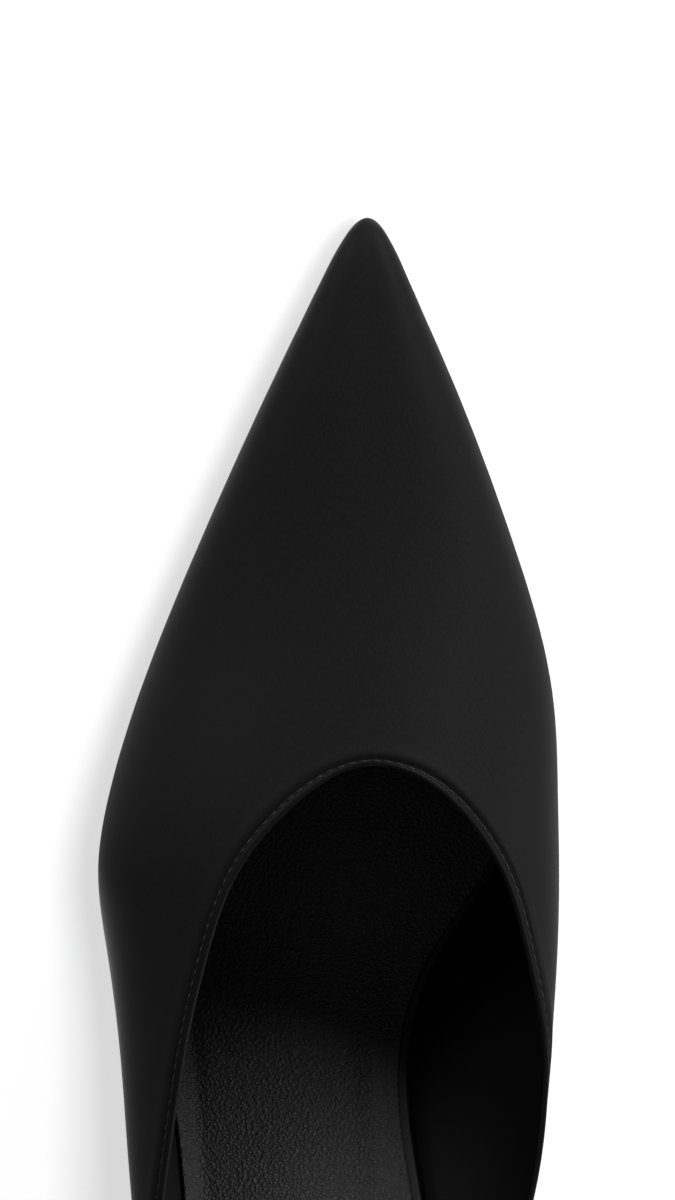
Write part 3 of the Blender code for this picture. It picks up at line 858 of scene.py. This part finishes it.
def reach_from_back(across):
    """Length of an outline from the back of the heel forward."""
    steps = np.hypot(np.diff(across[:, 0]), np.diff(station[:, 0]))
    return np.concatenate([np.cumsum(steps[::-1])[::-1], [0.0]])[:, None]


medial_half = wide > (high_lateral + high_medial) / 2.0
side_reach = np.where(medial_half, reach_from_back(high_medial), -reach_from_back(high_lateral))
threads = np.stack([side_reach, high], axis=2)
threads = np.concatenate([threads, threads[:, :1]], axis=1)
wedge = lay_tube("wedge_cover", np.stack([wide, SHOE_LENGTH / 2.0 - along, high], axis=2) * MM, threads)
wedge.data.materials.append(satin)
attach(wedge, "root")
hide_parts("wedge_heel")


# Outsole: one thin sole of vegetable-tanned leather from toe to heel, cemented under the upper and the wedge.
# Its cut edge is inked black and its lower corner broken.
OUTSOLE_FRONT = 0.5
OUTSOLE_MARGIN = 0.3
OUTSOLE_ROUND = 0.6
OUTSOLE_TOP_ROUND = 0.3
OUTSOLE_RINGS = 170
OUTSOLE_ACROSS = 24
TREAD_FACING = -0.9
station = stations_between(OUTSOLE_FRONT, station_at(math.pi - HEEL_END_ANGLE), OUTSOLE_RINGS)
foot_station, low_lateral, low_medial = wedge_foot(station)
left = low_lateral - OUTSOLE_MARGIN
right = low_medial + OUTSOLE_MARGIN
low = tread_height(foot_station)
top = low + OUTSOLE_THICKNESS + SEAT_GAP - 2.0 * WEDGE_SEAT
outsole = lay_tube("outsole_leather", plate_rings(
    foot_station, left, right, low, top, OUTSOLE_TOP_ROUND, OUTSOLE_ROUND, OUTSOLE_ACROSS))

# Vegetable-tanned sole leather, rolled hard: warm tan, close fibres, small mottling and a waxed half gloss.
FIBRE_WIDTH = 0.4
MOTTLE_WIDTH = 9.0
TAN_COLOURS = ("#9a7048", "#b58a5c")
sole_leather, tree, shader = new_material("rolled_sole_leather")
place = add_node(tree, "TexCoord").outputs["Object"]
fibre = noise_of(tree, place, FIBRE_WIDTH, detail=4.0).outputs["Fac"]
mottle = noise_of(tree, place, MOTTLE_WIDTH, detail=3.0).outputs["Fac"]
blend = add_node(tree, "Math", {0: fibre, 1: mottle}, operation="MULTIPLY")
spread = add_node(tree, "MapRange", {"Value": blend.outputs[0], "From Min": 0.1, "From Max": 0.45})
colour_between(tree, shader, spread.outputs[0], TAN_COLOURS)
raise_grain(tree, shader, fibre, strength=0.2, depth=0.05)
shader.inputs["Roughness"].default_value = 0.45

# Black edge ink, burnished: an even dark film with faint cut marks along it.
CUT_MARK = 0.25
CUT_MARKS_PER_METRE = 60.0
INK_COLOURS = ("#121212", "#1b1a19")
edge_ink, tree, shader = new_material("black_edge_ink")
place = add_node(tree, "TexCoord").outputs["Object"]
lines = add_node(tree, "Mapping", {
    "Vector": place,
    "Scale": (CUT_MARKS_PER_METRE, CUT_MARKS_PER_METRE, 1.0 / (CUT_MARK * MM)),
})
marks = add_node(tree, "TexNoise", {"Vector": lines.outputs["Vector"], "Scale": 1.0, "Detail": 2.0})
colour_between(tree, shader, marks.outputs["Fac"], INK_COLOURS)
raise_grain(tree, shader, marks.outputs["Fac"], strength=0.15, depth=0.05)
shader.inputs["Roughness"].default_value = 0.38
outsole.data.materials.append(sole_leather)
outsole.data.materials.append(edge_ink)
for face in outsole.data.polygons:
    face.material_index = 0 if face.normal.z < TREAD_FACING else 1
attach(outsole, "root")
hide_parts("outsole")


# Sock: soft black leather over thin foam, glued on the insole. It is crowned along the foot, curls up where
# it meets the lateral wall, and has fine creases where the shoe bends.
SOCK_THICKNESS = 1.4
SOCK_SEAT = 0.05
SOCK_LOW_ROUND = 0.05
SOCK_FRONT = 14.0
SOCK_LATERAL_EDGE = 0.3
SOCK_MEDIAL_EDGE = 1.8
SOCK_SEAT_EDGE = 1.4
SOCK_BACK = station_at(math.pi - HEEL_END_ANGLE) - SOCK_SEAT_EDGE
SOCK_BACK_START = 232.0
SOCK_CROWN_END = 215.0
SOCK_CROWN = 0.9
SOCK_LIP = 1.5
SOCK_LIP_WIDTH = 0.16
SOCK_LIP_START = 125.0
SOCK_LIP_FULL = 145.0
SOCK_LIP_FADE = 180.0
SOCK_LIP_END = 205.0
SOCK_FLAT_WIDTH = 2.0
SOCK_CROWNED_WIDTH = 20.0
SOCK_RINGS = 260
SOCK_ACROSS = 72
SOCK_ROUND = 0.3
FoldRow = namedtuple("FoldRow", "height across station slant width")
SOCK_FOLDS = (
    FoldRow(-0.35, -23.7, 145.0, 0.092, 1.6),
    FoldRow(0.55, 8.0, 150.0, 0.03, 2.6),
)
CREASE_HEIGHT = 0.05
CREASE_STATION = 143.5
CREASE_LENGTH = 4.0
CREASE_ACROSS = 6.5
CREASE_WIDTH = 3.0
CREASE_PITCH = 1.1
CREASE_WAVE = 1.3


def soft_bump(value, middle, width):
    return np.exp(-((value - middle) / width) ** 2)


def sock_lift(station, across, share):
    """Height of the sock's face over its edge: crown, curled lip, a trough and a ridge, and fine creases."""
    crowned = 1.0 - smooth_step(station, SOCK_CROWN_END, SOCK_BACK)
    crown = SOCK_CROWN * np.sin(share * math.pi) ** 2 * crowned
    curl = np.maximum(0.0, 1.0 - share / SOCK_LIP_WIDTH)
    bent = SOCK_LIP * curl * curl
    for row in SOCK_FOLDS:
        middle = row.across + (station - row.station) * row.slant
        bent = bent + row.height * soft_bump(across, middle, row.width)
    waist = smooth_step(station, SOCK_LIP_START, SOCK_LIP_FULL)
    waist = waist - smooth_step(station, SOCK_LIP_FADE, SOCK_LIP_END)
    creased = soft_bump(station, CREASE_STATION, CREASE_LENGTH)
    creased = creased * soft_bump(across, CREASE_ACROSS, CREASE_WIDTH)
    waves = np.sin(station * 2.0 * math.pi / CREASE_PITCH + np.sin(across * CREASE_WAVE))
    left, right = insole_edges(station)
    fade = smooth_step(right - left, SOCK_FLAT_WIDTH, SOCK_CROWNED_WIDTH)
    return fade * (crown + bent * waist + CREASE_HEIGHT * creased * waves)


station = SOCK_BACK - stations_between(0.0, SOCK_BACK - SOCK_FRONT, SOCK_RINGS)[::-1]
round_back = smooth_step(station, SOCK_BACK_START, SOCK_BACK)
left, right = insole_edges(station + SOCK_SEAT_EDGE * round_back)
seat = smooth_step(station, SEAT_START, SEAT_FULL)
widest_edge = (right - left) / 4.0
lateral_edge = (SOCK_LATERAL_EDGE + (SOCK_SEAT_EDGE - SOCK_LATERAL_EDGE) * seat) * (1.0 - round_back)
medial_edge = (SOCK_MEDIAL_EDGE + (SOCK_SEAT_EDGE - SOCK_MEDIAL_EDGE) * seat) * (1.0 - round_back)
left = left + np.minimum(lateral_edge, widest_edge)
right = right - np.minimum(medial_edge, widest_edge)
low = base_height(station) + INSOLE_THICKNESS + SOCK_SEAT
top = low + SOCK_THICKNESS + SEAT_GAP - SOCK_SEAT
sock = lay_tube("sock_leather", plate_rings(
    station, left, right, low, top, SOCK_ROUND, SOCK_LOW_ROUND, SOCK_ACROSS, sock_lift))

# Embossed sheep leather, black: small soft pebbles with a half gloss on top, and painted shade that darkens
# the creases between them.
PEBBLE_WIDTH = 0.6
PORE_WIDTH = 0.25
PORE_SHARE = 0.6
DRIFT_WIDTH = 2.5 * PEBBLE_WIDTH
DRIFT_REACH = 0.5
SOCK_CREASE_SHADE_COLOURS = ("#0c0c0c", "#191919")
pebbled, tree, shader = new_material("pebbled_black_leather")
place = add_node(tree, "TexCoord").outputs["Object"]
warp = noise_of(tree, place, DRIFT_WIDTH, detail=2.0)
reach = (DRIFT_REACH * MM, DRIFT_REACH * MM, DRIFT_REACH * MM)
drift = add_node(tree, "VectorMath", {0: warp.outputs["Color"], 1: reach}, operation="MULTIPLY")
shifted = add_node(tree, "VectorMath", {0: place, 1: drift.outputs["Vector"]}, operation="ADD")
cells = {"Vector": shifted.outputs["Vector"], "Scale": 1.0 / (PEBBLE_WIDTH * MM), "Smoothness": 0.25}
pebbles = add_node(tree, "TexVoronoi", cells, feature="SMOOTH_F1")
domes = {"Value": pebbles.outputs["Distance"], "From Min": 0.75, "From Max": 0.1}
dome_relief_and_shade = add_node(tree, "MapRange", domes, interpolation_type="SMOOTHSTEP").outputs[0]
pores = noise_of(tree, place, PORE_WIDTH, detail=2.0).outputs["Fac"]
height = add_node(tree, "Math", {0: pores, 1: PORE_SHARE, 2: dome_relief_and_shade}, operation="MULTIPLY_ADD").outputs[0]
gloss = add_node(tree, "MapRange", {"Value": dome_relief_and_shade, "To Min": 0.62, "To Max": 0.46})
# Painted shade: the colour runs from the pebbles' lighter tops down to darker creases, by the domes' height.
colour_between(tree, shader, dome_relief_and_shade, SOCK_CREASE_SHADE_COLOURS)
tree.links.new(gloss.outputs[0], shader.inputs["Roughness"])
raise_grain(tree, shader, height, strength=0.9, depth=0.12)
shader.inputs["Specular IOR Level"].default_value = 0.44
sock.data.materials.append(pebbled)
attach(sock, "root")
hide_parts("sock")


# Floor, light and camera, placed in metres: a plain white floor seen from straight above the vamp.
# Low soft lamps round the toe, on the medial side and behind the heel draw the satin's sheen, under a weak
# wide one. The last lamp lights the floor alone and throws the soft shadow to the lateral side.
FLOOR_SIZE = 14.0
FLOOR_GLOW = 0.64
FLOOR_PATCHES_PER_METRE = 3.0
FLOOR_COLOURS = ("#7a7a7a", "#7c7c7c")
bpy.ops.object.select_all(action="DESELECT")
bpy.ops.mesh.primitive_plane_add(size=FLOOR_SIZE)
floor = bpy.context.object
floor.name = "floor"

# Matt white paint with an even glow: a clean ground without gloss, which throws no light on the shoe.
paint, tree, shader = new_material("white_floor_paint")
place = add_node(tree, "TexCoord").outputs["Object"]
patched = {"Vector": place, "Scale": FLOOR_PATCHES_PER_METRE, "Detail": 2.0}
patches = add_node(tree, "TexNoise", patched)
colour_between(tree, shader, patches.outputs["Fac"], FLOOR_COLOURS)
shader.inputs["Emission Color"].default_value = linear("#ffffff")
shader.inputs["Emission Strength"].default_value = FLOOR_GLOW
shader.inputs["Roughness"].default_value = 0.9
shader.inputs["Specular IOR Level"].default_value = 0.1
floor.data.materials.append(paint)
floor.visible_diffuse = False
floor.visible_glossy = False

Lamp = namedtuple("Lamp", "name azimuth elevation size power lights")
LAMP_DISTANCE = 1.6
LAMPS = (
    Lamp("right_lamp", 0.0, 18.0, 0.8, 12.0, "all"),
    Lamp("toe_right_lamp", 62.0, 20.0, 0.8, 13.6, "all"),
    Lamp("toe_left_lamp", 121.0, 18.0, 0.8, 8.5, "all"),
    Lamp("top_lamp", 320.0, 80.0, 3.0, 0.9, "all"),
    Lamp("heel_lamp", 270.0, 7.0, 0.3, 10.0, "all"),
    Lamp("floor_lamp", 10.0, 77.0, 0.4, 40.0, "floor"),
)
floor_alone = bpy.data.collections.new("floor_alone")
floor_alone.objects.link(floor)
for lamp in LAMPS:
    light = bpy.data.lights.new(lamp.name, "AREA")
    light.energy = lamp.power
    light.size = lamp.size
    standing = bpy.data.objects.new(lamp.name, light)
    bpy.context.scene.collection.objects.link(standing)
    away = LAMP_DISTANCE * math.cos(math.radians(lamp.elevation))
    standing.location = (
        away * math.cos(math.radians(lamp.azimuth)),
        away * math.sin(math.radians(lamp.azimuth)),
        LAMP_DISTANCE * math.sin(math.radians(lamp.elevation)),
    )
    standing.rotation_mode = "QUATERNION"
    standing.rotation_quaternion = standing.location.to_track_quat("Z", "Y")
    standing.visible_camera = False
    if lamp.lights == "floor":
        standing.light_linking.receiver_collection = floor_alone

# The room gives the shoe a faint even light, and the camera sees it white past the floor's end.
ROOM_GLOW = 0.12
BACKDROP_GLOW = 1.0
ROOM_COLOUR = "#fbfbfb"
world = bpy.data.worlds.new("room")
bpy.context.scene.world = world
world.use_nodes = True
tree = world.node_tree
background = tree.nodes["Background"]
ray = add_node(tree, "LightPath").outputs["Is Camera Ray"]
glow = add_node(tree, "MapRange", {"Value": ray, "To Min": ROOM_GLOW, "To Max": BACKDROP_GLOW})
background.inputs["Color"].default_value = linear(ROOM_COLOUR)
tree.links.new(glow.outputs[0], background.inputs["Strength"])

CAMERA_PLACE = (0.00158, 0.05719, 1.5)
CAMERA_LENS = 255.5
CAMERA_SENSOR = 36.0
camera = bpy.data.objects.new("camera", bpy.data.cameras.new("camera"))
bpy.context.scene.collection.objects.link(camera)
camera.location = CAMERA_PLACE
camera.data.sensor_width = CAMERA_SENSOR
camera.data.lens = CAMERA_LENS
bpy.context.scene.camera = camera
bpy.context.scene.view_settings.view_transform = "Standard"
